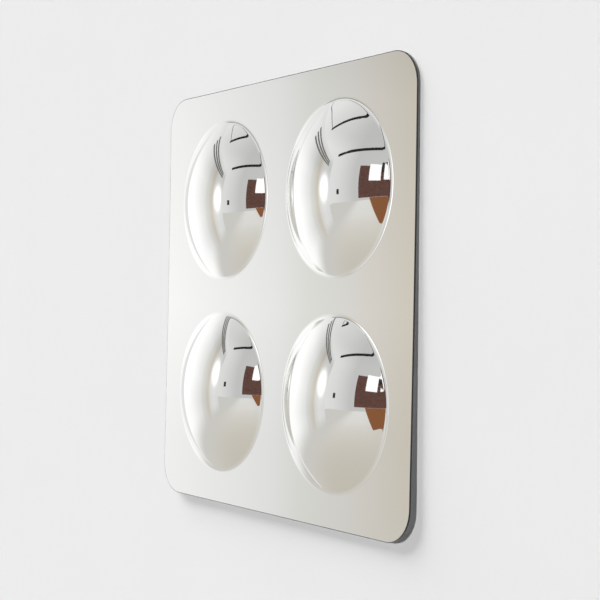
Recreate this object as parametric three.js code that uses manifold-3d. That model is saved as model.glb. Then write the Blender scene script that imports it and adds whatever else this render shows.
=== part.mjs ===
// A square wall mirror: one mirrored acrylic sheet with four convex domes formed out of it. It hangs on two
// pairs of flush clips near its top edge, and three rubber bumpers hold its bottom edge off the wall.
// Millimetres. +Z is up, the mirror faces -Y, and the wall is the plane y = 0, with the origin behind the
// middle of the sheet.
import * as THREE from "three";
import { mergeVertices } from "three/addons/utils/BufferGeometryUtils.js";
import Module from "manifold-3d";

// The mirrored sheet
const PANEL_SIDE = 780;
const CORNER_RADIUS = 58;
const SHEET = 3;
const DOME_DIAMETER = 306;
const DOME_HEIGHT = 49;
const ROOT_RADIUS = 15;
const CROWN_WALL = 2.5;

// The hanging kit
const STEEL = 1;
const TAPE = 0.5;
const CLEARANCE = 0.3;
const CLIP_WIDTH = 60;
const CLIP_BASE_HEIGHT = 20;
const CLIP_TONGUE_HEIGHT = 12;
const CLIP_JOGGLE_HEIGHT = 2;
const CLIP_X = 240;
const CLIP_STEPS = 5;
const SCREW_SPACING = 36;
const SCREW_LENGTH = 35;
const SHANK_RADIUS = 2;
const HEAD_RADIUS = 4;
const HEAD_LIFT = 1.2;
const PLUG_RADIUS = 4;
const PLUG_LENGTH = 30;
const BUMPER_RADIUS = 10;
const BUMPER_STAND_OFF = 8;
const PAD_THICKNESS = 0.8;

// Fineness of the round shapes
const DOME_SIDES = 36;
const ROOT_STEPS = 2;
const CAP_STEPS = 6;
const SMALL_SIDES = 16;
const EDGE_STEP = 110;

// Places that follow from the sizes above
const HALF = PANEL_SIDE / 2;
const DOME_RADIUS = DOME_DIAMETER / 2;
const MARGIN = (PANEL_SIDE - 2 * DOME_DIAMETER) / 3;
const DOME_OFFSET = (DOME_DIAMETER + MARGIN) / 2;
const STRIP_Z = HALF - MARGIN / 2;
const BUMPER_X = DOME_OFFSET + DOME_RADIUS * Math.SQRT1_2;
const TOP_GAP = TAPE + 2 * STEEL + CLEARANCE;
const JOG = STEEL + CLEARANCE;
const WALL_TIP_Z = STRIP_Z - CLIP_JOGGLE_HEIGHT - CLEARANCE;
const SCREW_Z = WALL_TIP_Z - CLIP_TONGUE_HEIGHT - CLIP_JOGGLE_HEIGHT - CLIP_BASE_HEIGHT / 2;
const CAP_ANGLE = 2 * Math.atan(DOME_HEIGHT / DOME_RADIUS);
const CAP_RADIUS = DOME_RADIUS / Math.sin(CAP_ANGLE) - ROOT_RADIUS;

const wasm = await Module();
wasm.setup();

const finish = {
  mirror: new THREE.MeshStandardMaterial({ color: 0xe6e6e4, roughness: 0.03, metalness: 1 }),
  steel: new THREE.MeshStandardMaterial({ color: 0xb4b6b8, roughness: 0.35, metalness: 1 }),
  screw: new THREE.MeshStandardMaterial({ color: 0xc9b46a, roughness: 0.35, metalness: 1 }),
  nylon: new THREE.MeshStandardMaterial({ color: 0x8e9196, roughness: 0.6, metalness: 0 }),
  rubber: new THREE.MeshStandardMaterial({ color: 0x26262a, roughness: 0.85, metalness: 0 }),
  foam: new THREE.MeshStandardMaterial({ color: 0xe8e6df, roughness: 0.9, metalness: 0 }),
};

// How far the back of the sheet stands off the wall at height z: parallel to the wall at the clips, and
// bending away below them like a springy strip that is clamped at its top and pushed out at its bottom.
function standOff(z) {
  const s = Math.max(0, (STRIP_Z - z) / (2 * STRIP_Z));
  return TOP_GAP + (BUMPER_STAND_OFF * (3 * s * s - s ** 3)) / 2;
}

function piece(name, geometry, material) {
  const mesh = new THREE.Mesh(geometry, material);
  mesh.name = name;
  return mesh;
}

function toSolid(geometry) {
  const bare = geometry.clone().deleteAttribute("normal").deleteAttribute("uv");
  const merged = mergeVertices(bare, 1e-4);
  return new wasm.Manifold(
    new wasm.Mesh({
      numProp: 3,
      vertProperties: merged.attributes.position.array,
      triVerts: new Uint32Array(merged.index.array),
    }),
  );
}

function toGeometry(solid) {
  const mesh = solid.getMesh();
  const geometry = new THREE.BufferGeometry();
  geometry.setAttribute("position", new THREE.BufferAttribute(mesh.vertProperties, 3));
  geometry.setIndex(new THREE.BufferAttribute(mesh.triVerts, 1));
  geometry.computeVertexNormals();
  return geometry;
}

function cut(geometry, cutters) {
  return toGeometry(cutters.reduce((solid, cutter) => solid.subtract(toSolid(cutter)), toSolid(geometry)));
}

// Turned about the Y axis from [radius, y] points. A profile that climbs in +y faces out.
function turned(profile, sides = SMALL_SIDES) {
  return new THREE.LatheGeometry(profile.map(([r, y]) => new THREE.Vector2(r, y)), sides);
}

// --- The mirrored sheet ---

// The sheet's outline in (x, z), counter-clockwise, with its straight sides in steps so that they can bend.
function outlinePoints() {
  const shape = new THREE.Shape();
  const c = HALF - CORNER_RADIUS;
  shape.absarc(c, c, CORNER_RADIUS, 0, Math.PI / 2);
  shape.absarc(-c, c, CORNER_RADIUS, Math.PI / 2, Math.PI);
  shape.absarc(-c, -c, CORNER_RADIUS, Math.PI, 1.5 * Math.PI);
  shape.absarc(c, -c, CORNER_RADIUS, 1.5 * Math.PI, 2 * Math.PI);
  const corners = shape.getPoints(8);
  const distinct = corners.filter((p, i) => p.distanceTo(corners[(i + 1) % corners.length]) > 1e-6);
  const points = [];
  distinct.forEach((p, i) => {
    const next = distinct[(i + 1) % distinct.length];
    const steps = Math.ceil(p.distanceTo(next) / EDGE_STEP);
    for (let k = 0; k < steps; k++) points.push(p.clone().lerp(next, k / steps));
  });
  return points;
}

// A dome's section as pairs of front and back points [radius, distance in front of the sheet's back]: the
// rounded root where it leaves the flat sheet, then the cap, whose wall thins towards the crown.
function domeSection() {
  const slopes = [];
  for (let i = 0; i <= ROOT_STEPS; i++) slopes.push({ angle: (CAP_ANGLE * i) / ROOT_STEPS, root: true });
  for (let i = 1; i <= CAP_STEPS; i++) slopes.push({ angle: CAP_ANGLE * (1 - i / CAP_STEPS), root: false });
  return slopes.map(({ angle, root }) => {
    const sin = Math.sin(angle);
    const cos = Math.cos(angle);
    const r = root ? DOME_RADIUS - ROOT_RADIUS * sin : CAP_RADIUS * sin;
    const n = root
      ? SHEET + ROOT_RADIUS * (1 - cos)
      : SHEET + DOME_HEIGHT - CAP_RADIUS * (1 - cos);
    const wall = CROWN_WALL + (SHEET - CROWN_WALL) * (r / DOME_RADIUS) ** 2;
    return { front: [r, n], back: [Math.max(0, r - wall * sin), n - wall * cos] };
  });
}

function ringPoint(centre, radius, i) {
  const a = (2 * Math.PI * THREE.MathUtils.euclideanModulo(i, DOME_SIDES)) / DOME_SIDES;
  return new THREE.Vector2(centre.x + radius * Math.cos(a), centre.y + radius * Math.sin(a));
}

function domeCentres() {
  const offsets = [-DOME_OFFSET, DOME_OFFSET];
  return offsets.flatMap((z) => offsets.map((x) => new THREE.Vector2(x, z)));
}

function ring(centre) {
  return Array.from({ length: DOME_SIDES }, (_, i) => ringPoint(centre, DOME_RADIUS, -i));
}

function sheetGeometry() {
  const positions = [];
  const place = (p, n) => [p.x, -(standOff(p.y) + n), p.y];
  const triangle = (a, b, c) => positions.push(...a, ...b, ...c);
  const outline = outlinePoints();
  const section = domeSection();
  const centres = domeCentres();
  const rings = centres.map(ring);
  const flat = [...outline, ...rings.flat()];
  for (const [a, b, c] of THREE.ShapeUtils.triangulateShape(outline, rings)) {
    triangle(place(flat[a], SHEET), place(flat[b], SHEET), place(flat[c], SHEET));
    triangle(place(flat[a], 0), place(flat[c], 0), place(flat[b], 0));
  }
  outline.forEach((p, i) => {
    const q = outline[(i + 1) % outline.length];
    triangle(place(p, 0), place(q, 0), place(q, SHEET));
    triangle(place(p, 0), place(q, SHEET), place(p, SHEET));
  });
  for (const centre of centres)
    for (const side of ["front", "back"])
      for (let k = 0; k + 1 < section.length; k++)
        for (let i = 0; i < DOME_SIDES; i++) {
          const [outer, inner] = [section[k][side], section[k + 1][side]];
          const [j0, j1] = side === "front" ? [i, i + 1] : [i + 1, i];
          const a = place(ringPoint(centre, outer[0], j0), outer[1]);
          const b = place(ringPoint(centre, outer[0], j1), outer[1]);
          const c = place(ringPoint(centre, inner[0], j1), inner[1]);
          const d = place(ringPoint(centre, inner[0], j0), inner[1]);
          triangle(a, b, c);
          if (inner[0] > 0) triangle(a, c, d);
        }
  const soup = new THREE.BufferGeometry();
  soup.setAttribute("position", new THREE.Float32BufferAttribute(positions, 3));
  const sheet = mergeVertices(soup, 1e-3);
  sheet.computeVertexNormals();
  return sheet;
}

// --- The hanging kit ---

// A joggled clip plate in section: the base lies in one plane, the tongue a plate's thickness and a running
// clearance behind it. The section is [y, z] points, y = 0 at the tongue's back face and z = 0 at the tip.
function clipSection() {
  const step = CLIP_TONGUE_HEIGHT + CLIP_JOGGLE_HEIGHT;
  const top = step + CLIP_BASE_HEIGHT;
  return [
    [0, 0],
    [-STEEL, 0],
    [-STEEL, CLIP_TONGUE_HEIGHT],
    [-JOG - STEEL, step],
    [-JOG - STEEL, top],
    [-JOG, top],
    [-JOG, step],
    [0, CLIP_TONGUE_HEIGHT],
  ];
}

// The plate stands in its own frame with the tongue down, facing -Y, ready to be placed or turned over. It is
// extruded in steps, which keep the stretch between the screw holes plain.
function clipPlate() {
  const section = new THREE.Shape(clipSection().map(([y, z]) => new THREE.Vector2(y, z)));
  const options = { depth: CLIP_WIDTH, steps: CLIP_STEPS, bevelEnabled: false };
  const plate = new THREE.ExtrudeGeometry(section, options);
  plate.applyMatrix4(new THREE.Matrix4().set(0, 0, 1, -CLIP_WIDTH / 2, 1, 0, 0, 0, 0, 1, 0, 0, 0, 0, 0, 1));
  return plate;
}

function mirrorClip(name, x) {
  const mesh = piece(name, clipPlate(), finish.steel);
  mesh.position.set(x, 0, STRIP_Z - CLIP_TONGUE_HEIGHT - CLIP_JOGGLE_HEIGHT);
  return mesh;
}

// A screw hole through the wall clip's base, with the countersink that seats the head proud by HEAD_LIFT.
function screwHole(x, z) {
  const hole = turned([
    [0, -HEAD_LIFT - STEEL - 1],
    [HEAD_RADIUS + CLEARANCE + 1, -HEAD_LIFT - STEEL - 1],
    [SHANK_RADIUS + CLEARANCE, HEAD_RADIUS - SHANK_RADIUS - HEAD_LIFT - STEEL],
    [SHANK_RADIUS + CLEARANCE, 1],
    [0, 1],
  ]);
  return hole.translate(x, 0, z);
}

// The wall clip is the same plate turned over, its base against the wall and its tongue up, and it stops
// short of the mirror clip's joggle by the running clearance.
function wallClip(name, x) {
  const plate = clipPlate().rotateX(Math.PI).translate(0, -JOG - STEEL, WALL_TIP_Z);
  const holes = screwXs(0).map((sx) => screwHole(sx, SCREW_Z));
  const mesh = piece(name, cut(plate, holes), finish.steel);
  mesh.position.x = x;
  return mesh;
}

function screwXs(x) {
  return [x - SCREW_SPACING / 2, x + SCREW_SPACING / 2];
}

function clipTape(name, x) {
  const tape = new THREE.BoxGeometry(CLIP_WIDTH - 4, TAPE, CLIP_BASE_HEIGHT - 2);
  tape.translate(x, -(2 * STEEL + CLEARANCE + TAPE / 2), STRIP_Z + CLIP_BASE_HEIGHT / 2);
  return piece(name, tape, finish.foam);
}

// A countersunk wood screw with a cross recess, its head just proud of the clip plate.
function clipScrew(name, x, z) {
  const face = -HEAD_LIFT - STEEL;
  const neck = face + HEAD_RADIUS - SHANK_RADIUS;
  const root = SHANK_RADIUS * 0.7;
  const tip = face + SCREW_LENGTH;
  const pitch = 2.5;
  const profile = [
    [0, face],
    [HEAD_RADIUS, face],
    [HEAD_RADIUS, face + 0.3],
    [SHANK_RADIUS, neck],
    [SHANK_RADIUS, neck + 6],
  ];
  for (let y = neck + 6.5; y + pitch < tip - 4; y += pitch)
    profile.push([root, y], [SHANK_RADIUS, y + pitch / 2]);
  profile.push([root, tip - 4], [0, tip]);
  const arm = 4.2;
  const recess = [
    new THREE.BoxGeometry(arm, 3, 0.9),
    new THREE.BoxGeometry(0.9, 3, arm),
  ].map((bar) => bar.translate(0, face, 0));
  const mesh = piece(name, cut(turned(profile), recess), finish.screw);
  mesh.position.set(x, 0, z);
  return mesh;
}

// A nylon plug in its drilled hole: a plain collar at the wall's face, then ribbed legs split crosswise.
function wallPlug(name, x, z) {
  const bore = SHANK_RADIUS + CLEARANCE;
  const collar = 5;
  const pitch = 5;
  const profile = [
    [bore, CLEARANCE],
    [PLUG_RADIUS, CLEARANCE],
    [PLUG_RADIUS, collar],
  ];
  for (let y = collar; y + pitch <= PLUG_LENGTH; y += pitch)
    profile.push([PLUG_RADIUS - 0.7, y + 0.3], [PLUG_RADIUS, y + pitch]);
  profile.push([PLUG_RADIUS - 1.2, PLUG_LENGTH + 1.5], [bore, PLUG_LENGTH + 1.5], [bore, CLEARANCE]);
  const split = PLUG_LENGTH - collar;
  const slots = [
    new THREE.BoxGeometry(2 * PLUG_RADIUS + 1, split, 1),
    new THREE.BoxGeometry(1, split, 2 * PLUG_RADIUS + 1),
  ].map((slot) => slot.translate(0, collar + 2 + split / 2, 0));
  const mesh = piece(name, cut(turned(profile), slots), finish.nylon);
  mesh.position.set(x, 0, z);
  return mesh;
}

// Stretches a solid from the wall to the back of the sheet, so that its far face follows the sheet's bend.
function fitToSheet(geometry, x) {
  const at = geometry.attributes.position;
  const nominal = standOff(-STRIP_Z);
  for (let i = 0; i < at.count; i++) {
    const z = at.getZ(i) - STRIP_Z;
    at.setXYZ(i, at.getX(i) + x, (at.getY(i) * standOff(z)) / nominal, z);
  }
  geometry.computeVertexNormals();
  return geometry;
}

// A turned rubber foot that narrows a little towards the wall.
function bumper(name, x) {
  const height = standOff(-STRIP_Z) - PAD_THICKNESS;
  const foot = turned([
    [0, -height],
    [BUMPER_RADIUS, -height],
    [BUMPER_RADIUS, -height + 1.5],
    [BUMPER_RADIUS * 0.86, -1.2],
    [BUMPER_RADIUS * 0.76, 0],
    [0, 0],
  ]);
  return piece(name, fitToSheet(foot, x), finish.rubber);
}

function bumperPad(name, x) {
  const back = -standOff(-STRIP_Z);
  const radius = BUMPER_RADIUS - 0.5;
  const disc = turned([
    [0, back],
    [radius, back],
    [radius, back + PAD_THICKNESS],
    [0, back + PAD_THICKNESS],
  ]);
  return piece(name, fitToSheet(disc, x), finish.foam);
}

// --- The assembly ---

const mirror = new THREE.Group();
const wallSide = new THREE.Group();
mirror.add(piece("mirror_sheet", sheetGeometry(), finish.mirror));
for (const [side, x] of [["left", -CLIP_X], ["right", CLIP_X]]) {
  mirror.add(mirrorClip(`mirror_clip_${side}`, x), clipTape(`clip_tape_${side}`, x));
  wallSide.add(wallClip(`wall_clip_${side}`, x));
  screwXs(x).forEach((sx, i) => {
    const hole = `${side}_${i + 1}`;
    wallSide.add(clipScrew(`clip_screw_${hole}`, sx, SCREW_Z));
    wallSide.add(wallPlug(`wall_plug_${hole}`, sx, SCREW_Z));
  });
}
for (const [side, x] of [["left", -BUMPER_X], ["middle", 0], ["right", BUMPER_X]])
  mirror.add(bumper(`bumper_${side}`, x), bumperPad(`bumper_pad_${side}`, x));

const wallMirror = new THREE.Group();
wallMirror.add(mirror, wallSide);

export default wallMirror;
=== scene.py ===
"""Visual model of a square wall mirror: one silvered acrylic sheet with four domes, and its hanging kit.

Metres. +Z is up, the mirror faces -Y and the wall is the plane y = 0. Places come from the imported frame,
and each sub-assembly repeats only the driving sizes that give its finer shape.
"""

from __future__ import annotations

import logging
import math
from collections.abc import Callable, Iterable, Mapping, Sequence
from dataclasses import dataclass, field
from enum import Enum

import bmesh
import bpy
from mathutils import Matrix, Vector


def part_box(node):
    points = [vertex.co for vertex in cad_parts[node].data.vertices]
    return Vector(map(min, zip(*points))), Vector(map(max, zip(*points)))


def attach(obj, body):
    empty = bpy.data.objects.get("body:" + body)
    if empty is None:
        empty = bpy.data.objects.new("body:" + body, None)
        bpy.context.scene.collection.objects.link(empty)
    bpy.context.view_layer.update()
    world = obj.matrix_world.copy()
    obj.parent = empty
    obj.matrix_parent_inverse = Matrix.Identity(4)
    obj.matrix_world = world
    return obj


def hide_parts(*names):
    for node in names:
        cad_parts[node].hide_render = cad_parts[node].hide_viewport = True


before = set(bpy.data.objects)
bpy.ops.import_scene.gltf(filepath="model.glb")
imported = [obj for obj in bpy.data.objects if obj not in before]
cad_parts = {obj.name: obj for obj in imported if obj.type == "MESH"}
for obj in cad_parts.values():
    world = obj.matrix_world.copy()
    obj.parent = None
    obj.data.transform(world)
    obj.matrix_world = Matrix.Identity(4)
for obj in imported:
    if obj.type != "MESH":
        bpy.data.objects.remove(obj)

SHARP_ANGLE = math.radians(32)
WELD = 1e-7
FULL_TONE = 2.0
ACRYLIC_IOR = 1.49

log = logging.getLogger("mirror")

Point = tuple[float, float, float]
Colour = tuple[float, float, float, float]
Corners = tuple[Point, Point, Point, Point]


class Body(Enum):
    """The bodies that a piece can ride on."""

    WALL_SIDE = "wall_side"
    MIRROR = "mirror"


class Side(Enum):
    """The two hanging places, by which way along X they lie."""

    LEFT = -1
    RIGHT = 1


class Origin(Enum):
    """Where a piece's own origin lies: the frame's, or along which axes it is at its CAD node's middle."""

    FRAME = (0.0, 0.0, 0.0)
    ACROSS = (1.0, 0.0, 0.0)
    AXIS = (1.0, 0.0, 1.0)


def rgb(red: float, green: float, blue: float) -> Colour:
    """Returns an opaque linear colour."""
    return (red, green, blue, 1.0)


def grey(tone: float) -> Colour:
    """Returns an opaque neutral colour."""
    return rgb(tone, tone, tone)


# ---------------------------------------------------------------- shader maths


@dataclass(frozen=True)
class Value:
    """One output socket of a node, on which arithmetic adds Math nodes."""

    graph: Graph
    socket: bpy.types.NodeSocket

    def of(self, output: str) -> Value:
        """Returns another output of the same node."""
        return Value(self.graph, self.socket.node.outputs[output])

    def _math(self, operation: str, *operands: Feed) -> Value:
        """Adds a Math node over these operands and returns its result."""
        return self.graph.node("ShaderNodeMath", {"operation": operation}, dict(enumerate(operands)))

    def __add__(self, other: Feed) -> Value:
        """Returns self + other."""
        return self._math("ADD", self, other)

    __radd__ = __add__

    def __mul__(self, other: Feed) -> Value:
        """Returns self * other."""
        return self._math("MULTIPLY", self, other)

    __rmul__ = __mul__

    def __sub__(self, other: Feed) -> Value:
        """Returns self - other."""
        return self._math("SUBTRACT", self, other)

    def __rsub__(self, other: Feed) -> Value:
        """Returns other - self."""
        return self._math("SUBTRACT", other, self)

    def __neg__(self) -> Value:
        """Returns -self."""
        return self._math("MULTIPLY", self, -1.0)

    def angle_from(self, other: Feed) -> Value:
        """Returns the angle whose tangent is self over other, in radians."""
        return self._math("ARCTAN2", self, other)

    def rise(self, start: float, end: float) -> Value:
        """Returns a smooth step from 0 at start to 1 at end."""
        return self.graph.node(
            "ShaderNodeMapRange",
            {"interpolation_type": "SMOOTHSTEP"},
            {"Value": self, "From Min": start, "From Max": end},
        )


Feed = Value | float | Sequence[float]


class Graph:
    """The node tree of one material or of the world."""

    def __init__(self, tree: bpy.types.NodeTree) -> None:
        """Empties the tree and keeps it."""
        tree.nodes.clear()
        self.tree = tree

    def node(
        self,
        kind: str,
        settings: Mapping[str, object] | None = None,
        inputs: Mapping[str | int, Feed] | None = None,
    ) -> Value | None:
        """Adds a node of any type.

        Args:
            kind: The node's type.
            settings: Its properties, which are set first. "stops" gives a ramp's positions and colours.
            inputs: What goes into its sockets, by name or number: plain values or links.

        Returns:
            The node's first output, or None for a node that has none.
        """
        made = self.tree.nodes.new(kind)
        for name, setting in (settings or {}).items():
            if name == "stops":
                self._set_stops(made.color_ramp, setting)
            else:
                setattr(made, name, setting)
        for name, feed in (inputs or {}).items():
            if isinstance(feed, Value):
                self.tree.links.new(feed.socket, made.inputs[name])
            else:
                made.inputs[name].default_value = feed
        return Value(self, made.outputs[0]) if len(made.outputs) else None

    @staticmethod
    def _set_stops(ramp: bpy.types.ColorRamp, stops: Sequence[tuple[float, Colour]]) -> None:
        """Gives a colour ramp these stops, in rising order of position."""
        while len(ramp.elements) > 1:
            ramp.elements.remove(ramp.elements[-1])
        ramp.elements[0].position, ramp.elements[0].color = stops[0]
        for position, colour in stops[1:]:
            ramp.elements.new(position).color = colour

    def place(self) -> Value:
        """Returns the point on the piece, in the piece's own metres."""
        return self.node("ShaderNodeTexCoord").of("Object")

    def parts(self, where: Value) -> Value:
        """Returns a point taken apart, with X, Y and Z as its outputs."""
        return self.node("ShaderNodeSeparateXYZ", None, {"Vector": where})

    def length(self, where: Value) -> Value:
        """Returns how far a point is from the origin."""
        return self.node("ShaderNodeVectorMath", {"operation": "LENGTH"}, {0: where}).of("Value")

    def glow(self, colour: Feed, strength: float = 1.0) -> Value:
        """Returns an emission of this colour."""
        return self.node("ShaderNodeEmission", None, {"Color": colour, "Strength": strength})

    def stretched(self, where: Value, scale: Point) -> Value:
        """Returns where with each axis scaled."""
        return self.node("ShaderNodeVectorMath", {"operation": "MULTIPLY"}, {0: where, 1: scale})

    def noise(self, where: Value, scale: float, detail: float = 3.0, roughness: float = 0.5) -> Value:
        """Returns fractal noise of about 0.5, at scale features to the metre."""
        inputs = {"Vector": where, "Scale": scale, "Detail": detail, "Roughness": roughness}
        return self.node("ShaderNodeTexNoise", None, inputs).of("Fac")

    def cells(self, where: Value, scale: float) -> Value:
        """Returns the distance to the middle of the nearest cell, scale cells to the metre."""
        return self.node("ShaderNodeTexVoronoi", None, {"Vector": where, "Scale": scale}).of("Distance")

    def ramp(self, factor: Value, stops: Sequence[tuple[float, Colour]]) -> Value:
        """Returns the colour at factor between the stops."""
        return self.node("ShaderNodeValToRGB", {"stops": stops}, {"Fac": factor})

    def blend(self, factor: Feed, first: Feed, second: Feed) -> Value:
        """Returns the colour that goes from first to second as factor goes from 0 to 1."""
        mixed = self.node("ShaderNodeMix", {"data_type": "RGBA"}, {0: factor, 6: first, 7: second})
        return Value(self, mixed.socket.node.outputs[2])

    def tint(self, colour: Feed, by: Feed) -> Value:
        """Returns the product of two colours."""
        settings = {"data_type": "RGBA", "blend_type": "MULTIPLY"}
        mixed = self.node("ShaderNodeMix", settings, {0: 1.0, 6: colour, 7: by})
        return Value(self, mixed.socket.node.outputs[2])

    def bump(self, height: Value, distance: float) -> Value:
        """Returns the normal of a surface whose relief is height times distance, in metres."""
        return self.node("ShaderNodeBump", None, {"Height": height, "Strength": 1.0, "Distance": distance})

    def surface(self, shader: Value, output: str = "ShaderNodeOutputMaterial") -> None:
        """Makes this shader the tree's surface."""
        self.node(output, None, {"Surface": shader})


@dataclass(frozen=True)
class Finish:
    """A named material. Each kind below says what its surface looks like."""

    name: str

    def shader(self, graph: Graph) -> Value:
        """Returns the shader of the surface."""
        raise NotImplementedError

    def material(self) -> bpy.types.Material:
        """Returns the material, which is made once for each name."""
        found = bpy.data.materials.get(self.name)
        if found:
            return found
        made = bpy.data.materials.new(self.name)
        made.use_nodes = True
        graph = Graph(made.node_tree)
        graph.surface(self.shader(graph))
        return made


def principled(graph: Graph, **inputs: Feed) -> Value:
    """Returns a Principled shader, with each word of a socket's name joined by an underscore."""
    named = {name.replace("_", " "): feed for name, feed in inputs.items()}
    return graph.node("ShaderNodeBsdfPrincipled", None, named)


# -------------------------------------------------------------------- finishes


@dataclass(frozen=True)
class SilveredAcrylic(Finish):
    """Vacuum-silvered acrylic: bright, slightly wavy, with faint wiping marks and a little dust."""

    name: str = "silvered_acrylic"
    silver: Colour = rgb(0.915, 0.915, 0.905)
    dust: Colour = rgb(0.80, 0.80, 0.79)
    polish: float = 0.012
    smudge: float = 0.035
    dust_cover: float = 0.35
    dust_dulling: float = 0.15
    waviness: float = 0.00022
    ripple: float = 0.22

    def shader(self, graph: Graph) -> Value:
        """Returns a metal under a clear coat."""
        place = graph.place()
        tall = graph.stretched(place, (1.0, 1.0, 0.35))
        wiped = graph.noise(tall, 16.0, detail=5.0, roughness=0.6).rise(0.5, 0.72)
        specks = 1.0 - graph.cells(place, 240.0).rise(0.03, 0.09)
        thinned = specks * graph.noise(place, 22.0, detail=2.0).rise(0.56, 0.7)
        waves = graph.noise(place, 5.5, detail=1.0) + self.ripple * graph.noise(place, 21.0, detail=1.0)
        return principled(
            graph,
            Base_Color=graph.blend(self.dust_cover * thinned, self.silver, self.dust),
            Metallic=1.0,
            Roughness=self.polish + self.smudge * wiped + self.dust_dulling * thinned,
            Coat_Weight=1.0,
            Coat_Roughness=0.01,
            Coat_IOR=ACRYLIC_IOR,
            Normal=graph.bump(waves, self.waviness),
        )


@dataclass(frozen=True)
class SawnEdge(Finish):
    """The cut and scraped edge of the sheet, where clear acrylic over silver reads as a dark line."""

    name: str = "sawn_edge"
    dark: Colour = rgb(0.012, 0.014, 0.016)
    light: Colour = rgb(0.075, 0.082, 0.088)
    polish: float = 0.16
    tooling: float = 0.26
    relief: float = 0.00004

    def shader(self, graph: Graph) -> Value:
        """Returns a dark gloss crossed by fine tool marks."""
        place = graph.place()
        marks = graph.noise(graph.stretched(place, (1.0, 0.06, 1.0)), 1400.0, detail=2.0)
        drift = graph.noise(place, 14.0, detail=3.0).rise(0.35, 0.75)
        return principled(
            graph,
            Base_Color=graph.blend(marks.rise(0.35, 0.7) * drift, self.dark, self.light),
            Roughness=self.polish + self.tooling * marks,
            IOR=ACRYLIC_IOR,
            Normal=graph.bump(marks, self.relief),
        )


@dataclass(frozen=True)
class BackPaint(Finish):
    """Grey protective paint sprayed over the silvering, with orange peel and thin scuffs."""

    name: str = "back_paint"
    deep: Colour = rgb(0.40, 0.405, 0.415)
    pale: Colour = rgb(0.50, 0.505, 0.51)
    scuffed: Colour = rgb(0.62, 0.62, 0.62)
    scuff_cover: float = 0.6
    roughness: float = 0.46
    clouding: float = 0.14
    scuff_polish: float = 0.1
    relief: float = 0.00005

    def shader(self, graph: Graph) -> Value:
        """Returns a half-matt paint."""
        place = graph.place()
        clouds = graph.noise(place, 5.0, detail=4.0, roughness=0.55).rise(0.3, 0.72)
        paint = graph.blend(clouds, self.deep, self.pale)
        peel = graph.noise(place, 620.0, detail=2.0)
        lines = graph.noise(graph.stretched(place, (1.0, 1.0, 0.05)), 130.0, detail=2.0).rise(0.69, 0.74)
        scuffs = lines * graph.noise(place, 7.0, detail=2.0).rise(0.52, 0.68)
        return principled(
            graph,
            Base_Color=graph.blend(self.scuff_cover * scuffs, paint, self.scuffed),
            Roughness=self.roughness + self.clouding * clouds - self.scuff_polish * scuffs,
            Normal=graph.bump(peel, self.relief),
        )


@dataclass(frozen=True)
class ZincPlate(Finish):
    """Zinc-plated steel strip: fine rolling lines, cloudy spangle and a little wear."""

    name: str = "zinc_plate"
    bright: Colour = rgb(0.66, 0.67, 0.69)
    dull: Colour = rgb(0.54, 0.55, 0.57)
    polish: float = 0.26
    rolling: float = 0.14
    spangling: float = 0.1
    relief: float = 0.00001

    def shader(self, graph: Graph) -> Value:
        """Returns a lightly brushed metal."""
        place = graph.place()
        rolled = graph.noise(graph.stretched(place, (0.03, 1.0, 1.0)), 2600.0, detail=2.0)
        spangle = graph.noise(place, 240.0, detail=4.0, roughness=0.6).rise(0.32, 0.7)
        return principled(
            graph,
            Base_Color=graph.blend(spangle, self.dull, self.bright),
            Metallic=1.0,
            Roughness=self.polish + self.rolling * rolled + self.spangling * spangle,
            Normal=graph.bump(rolled, self.relief),
        )


@dataclass(frozen=True)
class YellowZinc(Finish):
    """Yellow-passivated zinc, with its faint drift from straw to rose and green."""

    name: str = "yellow_zinc"
    straw: Colour = rgb(0.76, 0.62, 0.30)
    rose: Colour = rgb(0.72, 0.50, 0.34)
    green: Colour = rgb(0.60, 0.66, 0.36)
    polish: float = 0.24
    mottling: float = 0.2
    relief: float = 0.000012

    def shader(self, graph: Graph) -> Value:
        """Returns a coloured metal."""
        place = graph.place()
        drift = graph.noise(place, 260.0, detail=3.0)
        hues = [(0.3, self.green), (0.48, self.straw), (0.7, self.rose)]
        return principled(
            graph,
            Base_Color=graph.ramp(drift, hues),
            Metallic=1.0,
            Roughness=self.polish + self.mottling * graph.noise(place, 900.0, detail=3.0),
            Normal=graph.bump(graph.noise(place, 1800.0, detail=2.0), self.relief),
        )


@dataclass(frozen=True)
class Moulded(Finish):
    """A moulded plastic or rubber, with cloudy colour and a fine sparked grain."""

    name: str
    low: Colour
    high: Colour
    roughness: float
    grain: float = 1500.0
    relief: float = 0.00003
    sparking: float = 0.16

    def shader(self, graph: Graph) -> Value:
        """Returns a matt plastic."""
        place = graph.place()
        grain = graph.noise(place, self.grain, detail=3.0, roughness=0.6)
        clouds = graph.noise(place, 190.0, detail=3.0)
        return principled(
            graph,
            Base_Color=graph.blend(clouds.rise(0.3, 0.7), self.low, self.high),
            Roughness=self.roughness + self.sparking * (grain - 0.5),
            Normal=graph.bump(grain, self.relief),
        )


@dataclass(frozen=True)
class Foam(Finish):
    """Closed-cell foam or foam tape, with the small cells that a cut opens, their pits darkened with painted
    shade.
    """

    name: str
    wall: Colour
    shaded_hollow: Colour
    cells: float = 2600.0
    roughness: float = 0.72
    clouding: float = 0.2
    relief: float = 0.00008

    def shader(self, graph: Graph) -> Value:
        """Returns a matt foam with painted shade in its cell pits."""
        place = graph.place()
        # Painted shade: each cell's middle takes the darker colour, as shade in the pit.
        cell = graph.cells(place, self.cells).rise(0.15, 0.6)
        return principled(
            graph,
            Base_Color=graph.blend(cell, self.shaded_hollow, self.wall),
            Roughness=self.roughness + self.clouding * graph.noise(place, 400.0, detail=2.0),
            Normal=graph.bump(cell, self.relief),
        )


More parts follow.
